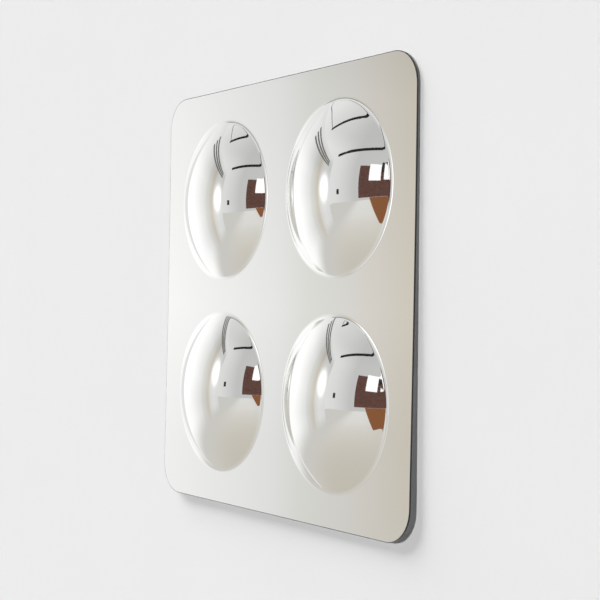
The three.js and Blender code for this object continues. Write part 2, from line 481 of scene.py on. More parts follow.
@dataclass(frozen=True)
class Plaster(Finish):
    """Pale matt wall or floor. Seen from behind, a one-sided wall is clear."""

    name: str
    tone: Colour
    one_sided: bool = False
    lift: float = 1.012
    relief: float = 0.00004

    def shader(self, graph: Graph) -> Value:
        """Returns a matt surface, and nothing at its back if it is one-sided."""
        place = graph.place()
        shade = graph.noise(place, 3.0, detail=3.0).rise(0.2, 0.8)
        lighter = tuple(min(1.0, self.lift * part) for part in self.tone)
        matt = principled(
            graph,
            Base_Color=graph.blend(shade, self.tone, lighter),
            Roughness=0.9,
            Specular_IOR_Level=0.1,
            Normal=graph.bump(graph.noise(place, 260.0, detail=3.0), self.relief),
        )
        if not self.one_sided:
            return matt
        behind = graph.node("ShaderNodeNewGeometry").of("Backfacing")
        clear = graph.node("ShaderNodeBsdfTransparent")
        return graph.node("ShaderNodeMixShader", None, {0: behind, 1: matt, 2: clear})


@dataclass(frozen=True)
class Glow(Finish):
    """An even studio card: light of one colour, which may be nearly none."""

    name: str
    radiance: Colour

    def shader(self, graph: Graph) -> Value:
        """Returns an even emission."""
        return graph.glow(self.radiance)


@dataclass(frozen=True)
class BrickWall(Finish):
    """The far brown wall of the room that the mirror sees, in courses."""

    name: str = "far_bricks"
    dark: Colour = rgb(0.085, 0.038, 0.030)
    light: Colour = rgb(0.13, 0.066, 0.052)
    joint: Colour = rgb(0.165, 0.10, 0.084)

    def shader(self, graph: Graph) -> Value:
        """Returns an emission in the pattern of brickwork."""
        parts = graph.parts(graph.place())
        flat = graph.node("ShaderNodeCombineXYZ", None, {"X": parts.of("X"), "Y": parts.of("Z")})
        sizes = {"Scale": 1.0, "Mortar Size": 0.008, "Brick Width": 0.24, "Row Height": 0.08}
        colours = {"Color1": self.dark, "Color2": self.light, "Mortar": self.joint}
        bricks = graph.node("ShaderNodeTexBrick", None, {"Vector": flat, **sizes, **colours})
        return graph.glow(bricks)


@dataclass(frozen=True)
class SideScreen(Finish):
    """The tall screen at the left, in metres along it from the wall and up it.

    It is bright near the wall, fades and warms along its run, and has one soft lamp.
    """

    name: str = "side_screen"
    run: float = 3.1
    along: tuple[tuple[float, Colour], ...] = (
        (0.0, grey(1.2)),
        (0.50, grey(1.16)),
        (0.83, grey(1.05)),
        (1.06, grey(0.955)),
        (1.28, grey(0.875)),
        (1.40, rgb(0.79, 0.795, 0.76)),
        (1.58, rgb(0.745, 0.735, 0.70)),
        (1.70, rgb(0.725, 0.69, 0.64)),
        (1.88, rgb(0.68, 0.635, 0.55)),
        (2.10, rgb(0.80, 0.785, 0.75)),
        (2.45, grey(0.86)),
        (3.1, grey(0.80)),
    )
    foot: float = -1.15
    rise: float = 2.8
    upward: tuple[tuple[float, float], ...] = (
        (-1.15, 0.92),
        (-0.45, 0.92),
        (0.0, 1.0),
        (0.74, 0.91),
        (1.0, 0.80),
        (1.27, 0.74),
        (1.6, 0.78),
    )
    foot_tone: Colour = rgb(0.64, 0.63, 0.595)
    foot_fade: float = 0.5
    head_tone: Colour = grey(0.79)
    head_fade: tuple[float, float] = (1.25, 1.64)
    lamp_along: float = 2.5
    lamp_height: float = 0.42
    lamp_reach: float = 0.62
    lamp: float = 1.1

    def shader(self, graph: Graph) -> Value:
        """Returns an emission that varies along the screen and up it."""
        place = graph.parts(graph.place())
        along, height = -place.of("Y"), place.of("Z")
        strip = graph.ramp(along * (1.0 / self.run), scaled(self.along, self.run))
        tones = [((at - self.foot) / self.rise, grey(tone)) for at, tone in self.upward]
        column = graph.ramp((height - self.foot) * (1.0 / self.rise), tones)
        off = {"X": along - self.lamp_along, "Y": height - self.lamp_height}
        distance = graph.length(graph.node("ShaderNodeCombineXYZ", None, off))
        lamp = graph.blend(distance.rise(0.0, self.lamp_reach), grey(self.lamp), grey(0.0))
        foot = 1.0 - height.rise(self.foot, self.foot + self.foot_fade)
        tone = graph.blend(foot, graph.tint(strip, column), halved(self.foot_tone))
        tone = graph.blend(height.rise(*self.head_fade), tone, halved(self.head_tone))
        return graph.node("ShaderNodeAddShader", None, {0: graph.glow(tone, FULL_TONE), 1: graph.glow(lamp)})


@dataclass(frozen=True)
class FloorSheen(Finish):
    """The floor as the mirror sees it: warm and shaded nearby, paler further off and by the screen."""

    name: str = "floor_sheen"
    reach: float = 8.0
    outward: tuple[tuple[float, Colour], ...] = (
        (0.0, rgb(0.50, 0.465, 0.40)),
        (1.3, rgb(0.59, 0.555, 0.485)),
        (2.6, rgb(0.68, 0.655, 0.60)),
        (4.5, rgb(0.76, 0.75, 0.715)),
        (8.0, rgb(0.78, 0.775, 0.75)),
    )
    screen_fade: tuple[float, float] = (-1.9, -0.6)
    shade_fade: tuple[float, float] = (0.2, 2.6)
    shade: Colour = rgb(0.80, 0.77, 0.72)

    def shader(self, graph: Graph) -> Value:
        """Returns an emission that varies over the floor."""
        place = graph.place()
        x = graph.parts(place).of("X")
        floor = graph.ramp(graph.length(place) * (1.0 / self.reach), scaled(self.outward, self.reach))
        floor = graph.blend(1.0 - x.rise(*self.screen_fade), floor, halved(SideScreen().foot_tone))
        floor = graph.tint(floor, graph.blend(x.rise(*self.shade_fade), grey(1.0), self.shade))
        return graph.glow(floor, FULL_TONE)


def scaled(stops: Iterable[tuple[float, Colour]], length: float) -> list[tuple[float, Colour]]:
    """Returns a ramp's stops: each place as a share of the length, and each tone halved."""
    return [(at / length, halved(tone)) for at, tone in stops]


def halved(tone: Colour) -> Colour:
    """Returns a tone as a share of the brightest, so that tones above 1 fit in a colour."""
    return rgb(*(part / FULL_TONE for part in tone[:3]))


# ---------------------------------------------------------------------- shapes


def add_object(name: str, data: bpy.types.ID) -> bpy.types.Object:
    """Makes an object of this data and links it to the scene."""
    made = bpy.data.objects.new(name, data)
    bpy.context.scene.collection.objects.link(made)
    return made


@dataclass
class Shape:
    """A mesh in the making: points, and faces that each name one of the piece's finishes."""

    points: list[Point] = field(default_factory=list)
    faces: list[tuple[tuple[int, ...], int]] = field(default_factory=list)

    def add_row(self, points: Iterable[Point]) -> list[int]:
        """Adds points and returns their numbers."""
        start = len(self.points)
        self.points.extend(points)
        return list(range(start, len(self.points)))

    def join_rows(self, rows: Sequence[Sequence[int]], closed: bool, finish: int = 0) -> None:
        """Spans neighbouring rows with quads.

        Args:
            rows: Rows of point numbers, all of one length.
            closed: True if each row is a ring.
            finish: The finish of the quads.
        """
        for near, far in zip(rows, rows[1:]):
            count = len(near) if closed else len(near) - 1
            for i in range(count):
                j = (i + 1) % len(near)
                self.faces.append(((near[i], far[i], far[j], near[j]), finish))

    def fan(self, ring: Sequence[int], tip: Point) -> None:
        """Closes a ring with triangles to one point."""
        (middle,) = self.add_row([tip])
        for i, corner in enumerate(ring):
            self.faces.append(((corner, ring[(i + 1) % len(ring)], middle), 0))

    def make(self, name: str, finishes: Sequence[Finish], merge: float = WELD) -> bpy.types.Object:
        """Makes the object, welded, facing outwards and with its sharp edges marked.

        Args:
            name: The piece's name.
            finishes: The finishes that the faces number.
            merge: How near two points lie that are one, in metres.

        Returns:
            The new object, linked to the scene.
        """
        mesh = bpy.data.meshes.new(name)
        mesh.from_pydata(self.points, [], [corners for corners, _ in self.faces])
        for polygon, (_, finish) in zip(mesh.polygons, self.faces):
            polygon.material_index = finish
        for finish in finishes:
            mesh.materials.append(finish.material())
        tidy_mesh(mesh, merge)
        return add_object(name, mesh)


def tidy_mesh(mesh: bpy.types.Mesh, merge: float = WELD) -> None:
    """Welds doubled points, turns faces outwards and smooths all but the sharp edges."""
    edit = bmesh.new()
    edit.from_mesh(mesh)
    bmesh.ops.remove_doubles(edit, verts=edit.verts, dist=merge)
    bmesh.ops.dissolve_degenerate(edit, edges=edit.edges, dist=merge)
    bmesh.ops.recalc_face_normals(edit, faces=edit.faces)
    for face in edit.faces:
        face.smooth = True
    for edge in edit.edges:
        edge.smooth = len(edge.link_faces) != 2 or edge.calc_face_angle() < SHARP_ANGLE
    edit.to_mesh(mesh)
    edit.free()


def carve(target: bpy.types.Object, cutter: bpy.types.Object) -> None:
    """Takes the cutter's shape out of the target, and removes the cutter."""
    cut = target.modifiers.new("carve", "BOOLEAN")
    cut.operation, cut.solver, cut.object = "DIFFERENCE", "EXACT", cutter
    evaluated = target.evaluated_get(bpy.context.evaluated_depsgraph_get())
    target.data = bpy.data.meshes.new_from_object(evaluated)
    target.modifiers.clear()
    bpy.data.objects.remove(cutter)
    tidy_mesh(target.data)


def lathe(profile: Sequence[tuple[float, float]], sides: int, ridge: Callable | None = None) -> Shape:
    """Turns a profile round the Y axis into a closed shape.

    Args:
        profile: (radius, y) from the pole at one end to the pole at the other.
        sides: How many steps the turn has.
        ridge: A function of (radius, y, angle) that gives the radius there, for threads and fins.

    Returns:
        The turned shape.
    """
    shape = Shape()
    rows = []
    for radius, y in profile:
        turned = []
        for step in range(sides):
            angle = 2 * math.pi * step / sides
            r = ridge(radius, y, angle) if ridge else radius
            turned.append((r * math.cos(angle), y, r * math.sin(angle)))
        rows.append(shape.add_row(turned))
    shape.join_rows(rows, closed=True)
    shape.fan(rows[0], (0.0, profile[0][1], 0.0))
    shape.fan(rows[-1], (0.0, profile[-1][1], 0.0))
    return shape


def arc(centre: tuple[float, float], radius: float, start: float, end: float, steps: int) -> list:
    """Returns the points of an arc, in degrees, as (across, along) pairs."""
    angles = [math.radians(start + (end - start) * i / steps) for i in range(steps + 1)]
    return [(centre[0] + radius * math.cos(a), centre[1] + radius * math.sin(a)) for a in angles]


def centre_of(node: str) -> Vector:
    """Returns the middle of a CAD node's box."""
    low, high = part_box(node)
    return (Vector(low) + Vector(high)) / 2


def nodes_of(kind: str) -> list[str]:
    """Returns the CAD nodes whose names start with this kind."""
    return sorted(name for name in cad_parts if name.startswith(kind))


def settle(
    piece: bpy.types.Object, body: Body, node: str, origin: Origin = Origin.AXIS
) -> bpy.types.Object:
    """Puts a piece in its place, on its body and instead of its CAD node.

    Args:
        piece: The finished piece.
        body: The body that it rides on.
        node: The CAD node that it stands for.
        origin: Where its own origin lies.

    Returns:
        The piece.
    """
    piece.location = [share * part for share, part in zip(origin.value, centre_of(node))]
    bpy.context.view_layer.update()
    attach(piece, body.value)
    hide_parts(node)
    return piece


# ------------------------------------------------------------- the domed sheet


@dataclass
class MirrorSheet:
    """The one formed sheet: a rounded square with four domes, silvered behind and painted grey.

    Each quarter is a fan of rings about its dome, which runs over the crown, round the root and across the
    flat to the sheet's edge or to the next quarter.
    """

    node: str = "mirror_sheet"
    corner: float = 0.058
    thickness: float = 0.003
    dome: float = 0.153
    dome_height: float = 0.049
    root: float = 0.015
    crown_wall: float = 0.0025
    dome_offset: float = 0.181
    clip_height: float = 0.362
    top_gap: float = 0.0028
    bow: float = 0.008
    rim: float = 0.0012
    arris: float = 0.0005
    sides: int = 176
    crown_rings: int = 38
    root_rings: int = 9
    flat_rings: tuple[float, ...] = (0.02, 0.14, 0.34, 0.58, 0.8, 1.0)
    inward: float = 0.999
    weld: float = 2e-5

    def __post_init__(self) -> None:
        """Works out the half side, the edge of the silvered face and the crown's angle and radius."""
        low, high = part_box(self.node)
        self.half = (high[0] - low[0]) / 2
        self.reach = self.half - self.rim
        self.crown_angle = 2 * math.atan(self.dome_height / self.dome)
        self.crown = self.dome / math.sin(self.crown_angle) - self.root

    def stand_off(self, z: float) -> float:
        """Returns how far the back of the sheet stands off the wall at height z."""
        s = max(0.0, (self.clip_height - z) / (2 * self.clip_height))
        return self.top_gap + self.bow * (3 * s * s - s**3) / 2

    def section(self) -> list[tuple[float, float, float]]:
        """Returns (radius, height, slope) on the front of a dome, from by the apex to the flat."""
        top = self.thickness + self.dome_height
        crown = [self.crown_angle * i / self.crown_rings for i in range(1, self.crown_rings + 1)]
        root = [self.crown_angle * (1 - i / self.root_rings) for i in range(1, self.root_rings + 1)]
        over = [(self.crown * math.sin(a), top - self.crown * (1 - math.cos(a)), a) for a in crown]
        round_root = [
            (self.dome - self.root * math.sin(a), self.thickness + self.root * (1 - math.cos(a)), a)
            for a in root
        ]
        return over + round_root

    def behind(self, radius: float, height: float, slope: float) -> tuple[float, float]:
        """Returns the point straight through the sheet, as a radius and a height."""
        wall = self.crown_wall + (self.thickness - self.crown_wall) * (radius / self.dome) ** 2
        return radius - wall * math.sin(slope), height - wall * math.cos(slope)

    def outline(self, angle: float) -> tuple[float, float, Vector | None]:
        """Returns where a ray from the dome's middle leaves its quarter.

        Args:
            angle: The ray's angle from +X towards +Z.

        Returns:
            x and z there, and the way out of the sheet, or None on the line to the next quarter.
        """
        dx, dz, o = math.cos(angle), math.sin(angle), self.dome_offset
        reaches = []
        for step, low in ((dx, -o), (dz, -o)):
            if step < 0:
                reaches.append((low / step, None))
        for step, out in ((dx, Vector((1, 0))), (dz, Vector((0, 1)))):
            if step > 0:
                reaches.append(((self.reach - o) / step, out))
        reach, out = min(reaches, key=lambda pair: pair[0])
        x, z = o + reach * dx, o + reach * dz
        middle, radius = self.half - self.corner, self.corner - self.rim
        if x > middle and z > middle and out is not None:
            along = (o - middle) * (dx + dz)
            apart = 2 * (o - middle) ** 2 - radius**2
            reach = -along + math.sqrt(max(0.0, along * along - apart))
            x, z = o + reach * dx, o + reach * dz
            out = Vector((x - middle, z - middle)).normalized()
        return x, z, out

    def angles(self) -> list[float]:
        """Returns the angles of a quarter's fan: even steps, and exactly one at each bend of its outline."""
        o, middle, reach = self.dome_offset, self.half - self.corner, self.reach
        corners = [(0.0, 0.0), (reach, 0.0), (0.0, reach), (reach, middle), (middle, reach)]
        exact = [math.atan2(z - o, x - o) % (2 * math.pi) for x, z in corners]
        step = 2 * math.pi / self.sides
        even = [i * step for i in range(self.sides)]
        clear = [a for a in even if all(abs(a - b) > step / 3 for b in exact)]
        return sorted(clear + exact)

    def quarter(self, shape: Shape, across: int, up: int) -> None:
        """Adds one quarter of the sheet: front, back and the stretch of edge that it has.

        Args:
            shape: The shape to add to.
            across: 1 for the right-hand quarters and -1 for the left.
            up: 1 for the upper quarters and -1 for the lower.
        """
        angles = self.angles()
        section = self.section()

        def at(radius: float, height: float, angle: float) -> Point:
            """Returns the point at this radius, height and angle of the dome."""
            x = self.dome_offset + radius * math.cos(angle)
            z = up * (self.dome_offset + radius * math.sin(angle))
            return (across * x, -(self.stand_off(z) + height), z)

        def flat(x: float, z: float, height: float) -> Point:
            """Returns the point at this place of the bowed sheet."""
            return (across * x, -(self.stand_off(up * z) + height), up * z)

        for is_back in (False, True):
            rows = []
            for radius, height, slope in section:
                r, h = self.behind(radius, height, slope) if is_back else (radius, height)
                rows.append(shape.add_row(at(r, h, a) for a in angles))
            height = 0.0 if is_back else self.thickness
            for share in self.flat_rings:
                ring = []
                for a in angles:
                    x, z, _ = self.outline(a)
                    from_x = self.dome_offset + self.dome * math.cos(a)
                    from_z = self.dome_offset + self.dome * math.sin(a)
                    ring.append(flat(from_x + (x - from_x) * share, from_z + (z - from_z) * share, height))
                rows.append(shape.add_row(ring))
            finish = 2 if is_back else 0
            shape.join_rows(rows, closed=True, finish=finish)
            crown = self.thickness + self.dome_height - (self.crown_wall if is_back else 0.0)
            first = len(shape.faces)
            shape.fan(rows[0], at(0.0, crown, 0.0))
            shape.faces[first:] = [(corners, finish) for corners, _ in shape.faces[first:]]
        self.edge(shape, angles, flat)

    def edge(
        self, shape: Shape, angles: Sequence[float], flat: Callable[[float, float, float], Point]
    ) -> None:
        """Adds a quarter's stretch of the sawn edge: its dark front rim, both arrises and the back's rim.

        Args:
            shape: The shape to add to.
            angles: The angles of the quarter's fan.
            flat: A function of x, z and height that gives the point there on the bowed sheet.
        """
        flat_rim, top = self.rim - self.arris, self.thickness
        levels = [(0.0, top), (flat_rim, top), (self.rim, top - self.arris), (self.rim, self.arris)]
        levels += [(flat_rim, 0.0), (0.0, 0.0)]
        spans = list(zip(angles, angles[1:] + [angles[0] + 2 * math.pi]))
        for start, end in spans:
            if self.outline((start + end) / 2)[2] is None:
                continue
            rows = []
            middle = (start + end) / 2
            for angle in (start, end):
                x, z, _ = self.outline(angle)
                out = self.outline(middle + (angle - middle) * self.inward)[2]
                column = [flat(x + out.x * far, z + out.y * far, height) for far, height in levels]
                rows.append(shape.add_row(column))
            shape.join_rows([row[:-1] for row in rows], closed=False, finish=1)
            shape.join_rows([row[-2:] for row in rows], closed=False, finish=2)

    def build(self) -> bpy.types.Object:
        """Makes the sheet and returns it."""
        shape = Shape()
        for across in (-1, 1):
            for up in (-1, 1):
                self.quarter(shape, across, up)
        sheet = shape.make("domed_sheet", [SilveredAcrylic(), SawnEdge(), BackPaint()], self.weld)
        return settle(sheet, Body.MIRROR, self.node, Origin.FRAME)


# ------------------------------------------------------------- the hanging kit


@dataclass
class Strip:
    """A thin strip with rounded ends, bent along a line in the YZ plane."""

    width: float
    thickness: float
    corner: float
    line: list[tuple[float, float]]
    across: int = 24
    step: float = 0.0008

    def resample(self) -> list[tuple[float, float]]:
        """Returns the line with a point at every step or closer, its own points kept."""
        points = [self.line[0]]
        for (y0, z0), (y1, z1) in zip(self.line, self.line[1:]):
            count = max(1, math.ceil(math.hypot(y1 - y0, z1 - z0) / self.step))
            points += [(y0 + (y1 - y0) * i / count, z0 + (z1 - z0) * i / count) for i in range(1, count + 1)]
        return points

    def half_width(self, from_end: float) -> float:
        """Returns half the strip's width at this distance from its end."""
        rest = max(0.0, self.corner - from_end)
        return self.width / 2 - self.corner + math.sqrt(max(0.0, self.corner**2 - rest**2))

    def shape(self) -> Shape:
        """Returns the strip as a closed shape about its own middle line."""
        line = self.resample()
        lengths = [0.0]
        for (y0, z0), (y1, z1) in zip(line, line[1:]):
            lengths.append(lengths[-1] + math.hypot(y1 - y0, z1 - z0))
        shape = Shape()
        sheets: list[list[list[int]]] = [[], []]
        for i, ((y, z), length) in enumerate(zip(line, lengths)):
            (y0, z0), (y1, z1) = line[max(0, i - 1)], line[min(len(line) - 1, i + 1)]
            run = math.hypot(y1 - y0, z1 - z0)
            normal = ((z1 - z0) / run, -(y1 - y0) / run)
            half = self.half_width(min(length, lengths[-1] - length))
            for sheet, sign in zip(sheets, (-0.5, 0.5)):
                off = sign * self.thickness
                row = [
                    (half * (2 * j / self.across - 1), y + off * normal[0], z + off * normal[1])
                    for j in range(self.across + 1)
                ]
                sheet.append(shape.add_row(row))
        for sheet in sheets:
            shape.join_rows(sheet, closed=False)
        first, last = [sheet[0] for sheet in sheets], [sheet[-1] for sheet in sheets]
        shape.join_rows(first, closed=False)
        shape.join_rows(last, closed=False)
        for side in (0, -1):
            shape.join_rows([[row[side] for row in sheet] for sheet in sheets], closed=False)
        return shape


@dataclass
class HangingClip:
    """A pressed flush clip: a base, a joggle and a tongue that slides behind its partner's tongue."""

    side: Side
    steel: float = 0.001
    corner: float = 0.003
    base: float = 0.020
    joggle: float = 0.002
    bend: float = 0.15
    hole: float = 0.0023
    punch_reach: float = 0.004
    punch_sides: int = 40
    ease: float = 0.00014
    sheared: float = 50.0

    def strip(self, node: str, base_high: bool) -> bpy.types.Object:
        """Makes the strip of the clip that a CAD node gives.

        Args:
            node: The CAD node.
            base_high: True if the base is above the tongue, as on the mirror's clip.

        Returns:
            The strip, about the middle of the node's width.
        """
        low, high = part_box(node)
        half = self.steel / 2
        near, far = high[1] - half, low[1] + half
        base_y, tongue_y = (far, near) if base_high else (near, far)
        base_end, tongue_end, way = (high[2], low[2], -1) if base_high else (low[2], high[2], 1)
        bend, along = base_end + way * self.base, way * self.joggle
        over = self.bend * (tongue_y - base_y)
        bends = [
            (base_y, base_end),
            (base_y, bend),
            (base_y + over, bend + along / 4),
            (tongue_y - over, bend + along * 3 / 4),
            (tongue_y, bend + along),
            (tongue_y, tongue_end),
        ]
        shape = Strip(high[0] - low[0], self.steel, self.corner, bends).shape()
        return shape.make(f"{node}_strip", [ZincPlate()])

    def soften(self, clip: bpy.types.Object) -> None:
        """Rounds the sheared edges a little."""
        bevel = clip.modifiers.new("sheared_edge", "BEVEL")
        bevel.width, bevel.segments, bevel.limit_method = self.ease, 2, "ANGLE"
        bevel.angle_limit = math.radians(self.sheared)

    def build(self) -> list[bpy.types.Object]:
        """Makes both halves of the clip and returns them."""
        word = self.side.name.lower()
        made = []
        for owner, body in (("wall", Body.WALL_SIDE), ("mirror", Body.MIRROR)):
            node = f"{owner}_clip_{word}"
            middle = centre_of(node)
            clip = self.strip(node, base_high=owner == "mirror")
            if owner == "wall":
                for screw in nodes_of("clip_screw"):
                    at = centre_of(screw)
                    if at.x * self.side.value > 0:
                        carve(clip, self.punch(at.x - middle.x, at.z))
            self.soften(clip)
            made.append(settle(clip, body, node, Origin.ACROSS))
        return made

    def punch(self, x: float, z: float) -> bpy.types.Object:
        """Returns the punch of a screw hole."""
        profile = [(self.hole, -self.punch_reach), (self.hole, self.punch_reach)]
        rod = lathe(profile, self.punch_sides).make("punch", [ZincPlate()])
        rod.location = (x, 0.0, z)
        bpy.context.view_layer.update()
        return rod


@dataclass
class ClipTape:
    """A strip of double-sided foam tape that holds a mirror clip to the back of the sheet."""

    node: str
    corner: float = 0.0012
    across: int = 40

    def build(self) -> bpy.types.Object:
        """Makes the tape and returns it."""
        low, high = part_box(self.node)
        middle = centre_of(self.node)
        line = [(middle.y, low[2]), (middle.y, high[2])]
        shape = Strip(high[0] - low[0], high[1] - low[1], self.corner, line, self.across).shape()
        # The second colour is painted shade for the foam's cell pits.
        finish = Foam("tape_foam", rgb(0.74, 0.735, 0.70), rgb(0.60, 0.59, 0.55), cells=1800.0)
        tape = shape.make(f"{self.node}_strip", [finish])
        return settle(tape, Body.MIRROR, self.node, Origin.ACROSS)


@dataclass
class ClipScrew:
    """A pan-head screw with a cross recess and a coarse thread that runs out before its head.

    crown gives the head's section, as shares of its radius and depths below its crest.
    """

    node: str
    head: float = 0.004
    head_height: float = 0.0012
    crown: tuple[tuple[float, float], ...] = ((0.55, 0.0), (0.8, 0.00018), (0.96, 0.00055), (1.0, 0.00085))
    undercut: float = 1e-6
    shank: float = 0.002
    core: float = 0.00135
    neck: float = 0.0003
    pitch: float = 0.0018
    flank: float = 0.26
    plain: float = 0.004
    point: float = 0.006
    point_radius: float = 0.00008
    tip_radius: float = 0.00006
    recess: float = 0.0023
    recess_depth: float = 0.001
    recess_floor: float = 0.45
    overcut: float = 0.0002
    slot: float = 0.0007
    sides: int = 28
    step: float = 0.00022

    def build(self) -> bpy.types.Object:
        """Makes the screw and returns it."""
        low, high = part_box(self.node)
        crest, seat, tip = low[1], low[1] + self.head_height, high[1]

        def thread(radius: float, y: float, angle: float) -> float:
            """Returns the radius on the thread's helix, which grows in over its first turn."""
            if y < seat + self.plain or radius < self.core:
                return radius
            turn = (y / self.pitch - angle / (2 * math.pi)) % 1.0
            peak = max(0.0, 1.0 - abs(turn - 0.5) / self.flank)
            grown = min(1.0, (y - seat - self.plain) / self.pitch)
            return self.core + (radius - self.core) * (peak * grown)

        profile = [(self.head * share, crest + below) for share, below in self.crown] + [(self.head, seat)]
        y = seat + self.undercut
        while y < tip:
            taper = min(1.0, (tip - y) / self.point)
            full = self.shank if y >= seat + self.plain else self.core + self.neck
            profile.append((max(self.point_radius, full * taper), y))
            y += self.step
        profile.append((self.tip_radius, tip))
        screw = lathe(profile, self.sides, thread).make(f"{self.node}_threaded", [YellowZinc()])
        for turned in (0.0, math.pi / 2):
            carve(screw, self.driver_blade(crest, turned))
        return settle(screw, Body.WALL_SIDE, self.node)

    def driver_blade(self, crest: float, turned: float) -> bpy.types.Object:
        """Returns one tapering blade of the cross recess."""
        shape = Shape()
        rows = []
        floor, thick = self.recess * self.recess_floor, self.slot / 2
        for y, half in ((crest - self.overcut, self.recess), (crest + self.recess_depth, floor)):
            corners = [(-half, -thick), (half, -thick), (half, thick), (-half, thick)]
            rows.append(shape.add_row((x, y, z) for x, z in corners))
        shape.join_rows(rows, closed=True)
        for row in rows:
            shape.faces.append((tuple(row), 0))
        blade = shape.make("blade", [YellowZinc()])
        blade.data.transform(Matrix.Rotation(turned, 4, "Y"))
        return blade


@dataclass
class WallPlug:
    """A moulded wall plug: a thin collar, saw-toothed sides, two fins and a split towards its tip."""

    node: str
    collar: float = 0.0009
    collar_edge: float = 0.98
    body: float = 0.0033
    tooth: float = 0.0028
    tooth_depth: float = 0.0005
    tip_taper: float = 0.34
    tip_run: float = 0.006
    fin: float = 0.16
    fin_run: float = 0.6
    bore: float = 0.00205
    split: float = 0.0085
    split_width: float = 0.14
    split_wall: float = 0.00012
    sides: int = 48
    step: float = 0.0007

    def build(self) -> bpy.types.Object:
        """Makes the plug and returns it."""
        low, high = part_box(self.node)
        full = (high[0] - low[0]) / 2
        mouth, tip = low[1], high[1]

        def outside(y: float, angle: float) -> float:
            """Returns the outside radius, with the teeth, fins, split and tapered tip."""
            if y < mouth + self.collar:
                return full
            tooth = ((y - mouth) % self.tooth) / self.tooth
            taper = min(1.0, 1.0 - self.tip_taper * (1.0 - (tip - y) / self.tip_run))
            radius = (self.body + self.tooth_depth * tooth) * taper
            fin = max(0.0, 1.0 - abs(math.sin(angle)) / self.fin)
            if y < mouth + self.fin_run * (tip - mouth):
                radius = max(radius, self.body + fin * (full - self.body))
            if y > mouth + self.split and abs(math.cos(angle)) < self.split_width:
                radius = self.bore + self.split_wall
            return radius

        stations = [mouth, mouth + self.collar * self.collar_edge, mouth + self.collar]
        while stations[-1] < tip - self.step:
            stations.append(stations[-1] + self.step)
        stations.append(tip)
        turn = [2 * math.pi * i / self.sides for i in range(self.sides)]
        shape = Shape()

        def ring(y: float, radius_at: Callable[[float], float]) -> list[int]:
            """Adds one ring of points and returns their numbers."""
            return shape.add_row((radius_at(a) * math.cos(a), y, radius_at(a) * math.sin(a)) for a in turn)

        rows = [ring(y, lambda a, y=y: outside(y, a)) for y in stations]
        rows += [ring(y, lambda a: self.bore) for y in reversed(stations)]
        shape.join_rows(rows + [rows[0]], closed=True)
        finish = Moulded("nylon", rgb(0.235, 0.245, 0.26), rgb(0.30, 0.31, 0.325), 0.5)
        plug = shape.make(f"{self.node}_ribbed", [finish])
        return settle(plug, Body.WALL_SIDE, self.node)


@dataclass
class WallBumper:
    """A soft rubber foot with a mould ring, and the foam pad that sticks it to the sheet.

    The sections below are pairs of a step from a radius and a step from a face of the foot or pad.
    """

    side: str
    radius: float = 0.010
    wall_radius: float = 0.0076
    dimple: tuple[tuple[float, float], ...] = ((0.0022, -0.0008), (0.0026, -0.0001), (0.003, 0.0))
    soft_edge: float = 0.0009
    waist: float = 0.0008
    ring_height: float = 0.62
    mould_ring: tuple[tuple[float, float], ...] = (
        (-0.0009, 0.0005), (-0.0006, 0.0002), (0.0, 0.0), (-0.0006, -0.0002),
    )
    front_edge: tuple[tuple[float, float], ...] = ((-0.0003, 0.0012), (-0.00025, 0.0004), (-0.0006, 0.0))
    pad_radius: float = 0.0095
    pad_edge: tuple[tuple[float, float], ...] = ((-0.0002, 0.0), (-0.00004, 0.0001))
    lean: float = 0.01657
    sides: int = 64

    def leaning(self, shape: Shape, front: float, back: float) -> None:
        """Shears the shape so that its front follows the sheet and its back stays flat on the wall."""
        for i, (x, y, z) in enumerate(shape.points):
            share = min(1.0, max(0.0, (back - y) / (back - front)))
            shape.points[i] = (x, y + self.lean * z * share, z)

    def foot(self) -> bpy.types.Object:
        """Makes the rubber foot and returns it."""
        node = f"bumper_{self.side}"
        low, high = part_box(node)
        wall, front = high[1], low[1] + self.lean * self.radius
        ring = wall - self.ring_height * (wall - front)
        edge = self.wall_radius - self.soft_edge
        profile = [(radius, wall + step) for radius, step in self.dimple] + [(edge, wall)]
        profile += arc((edge, wall - self.soft_edge), self.soft_edge, 75, 0, 5)
        profile.append((self.wall_radius + self.waist, (wall + front) / 2))
        profile += [(self.radius + out, ring + step) for out, step in self.mould_ring]
        profile += [(self.radius + out, front + step) for out, step in self.front_edge]
        shape = lathe(profile, self.sides)
        self.leaning(shape, front, wall)
        finish = Moulded("rubber", rgb(0.012, 0.012, 0.013), rgb(0.024, 0.024, 0.026), 0.62, 900.0, 0.00005)
        return settle(shape.make(f"{node}_foot", [finish]), Body.MIRROR, node)

    def sticky_pad(self) -> bpy.types.Object:
        """Makes the foam pad and returns it."""
        node = f"bumper_pad_{self.side}"
        low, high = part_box(node)
        tilt = self.lean * self.pad_radius
        front, back = low[1] + tilt, high[1] - tilt
        profile = [(self.pad_radius + out, back - step) for out, step in self.pad_edge]
        profile.append((self.pad_radius, (front + back) / 2))
        profile += [(self.pad_radius + out, front + step) for out, step in reversed(self.pad_edge)]
        shape = lathe(profile, self.sides)
        for i, (x, y, z) in enumerate(shape.points):
            shape.points[i] = (x, y + self.lean * z, z)
        # The second colour is painted shade for the foam's cell pits.
        finish = Foam("pad_foam", rgb(0.66, 0.655, 0.63), rgb(0.48, 0.47, 0.44))
        return settle(shape.make(f"{node}_disc", [finish]), Body.MIRROR, node)

    def build(self) -> list[bpy.types.Object]:
        """Makes the foot and its pad and returns them."""
        return [self.foot(), self.sticky_pad()]


# ------------------------------------------------------------------ the studio


@dataclass(frozen=True)
class Card:
    """A flat four-sided card that only the mirror sees."""

    name: str
    corners: Corners
    finish: Finish


@dataclass(frozen=True)
class Rail:
    """A round rail or pipe that only the mirror sees."""

    name: str
    route: tuple[Point, ...]
    width: float
    finish: Finish


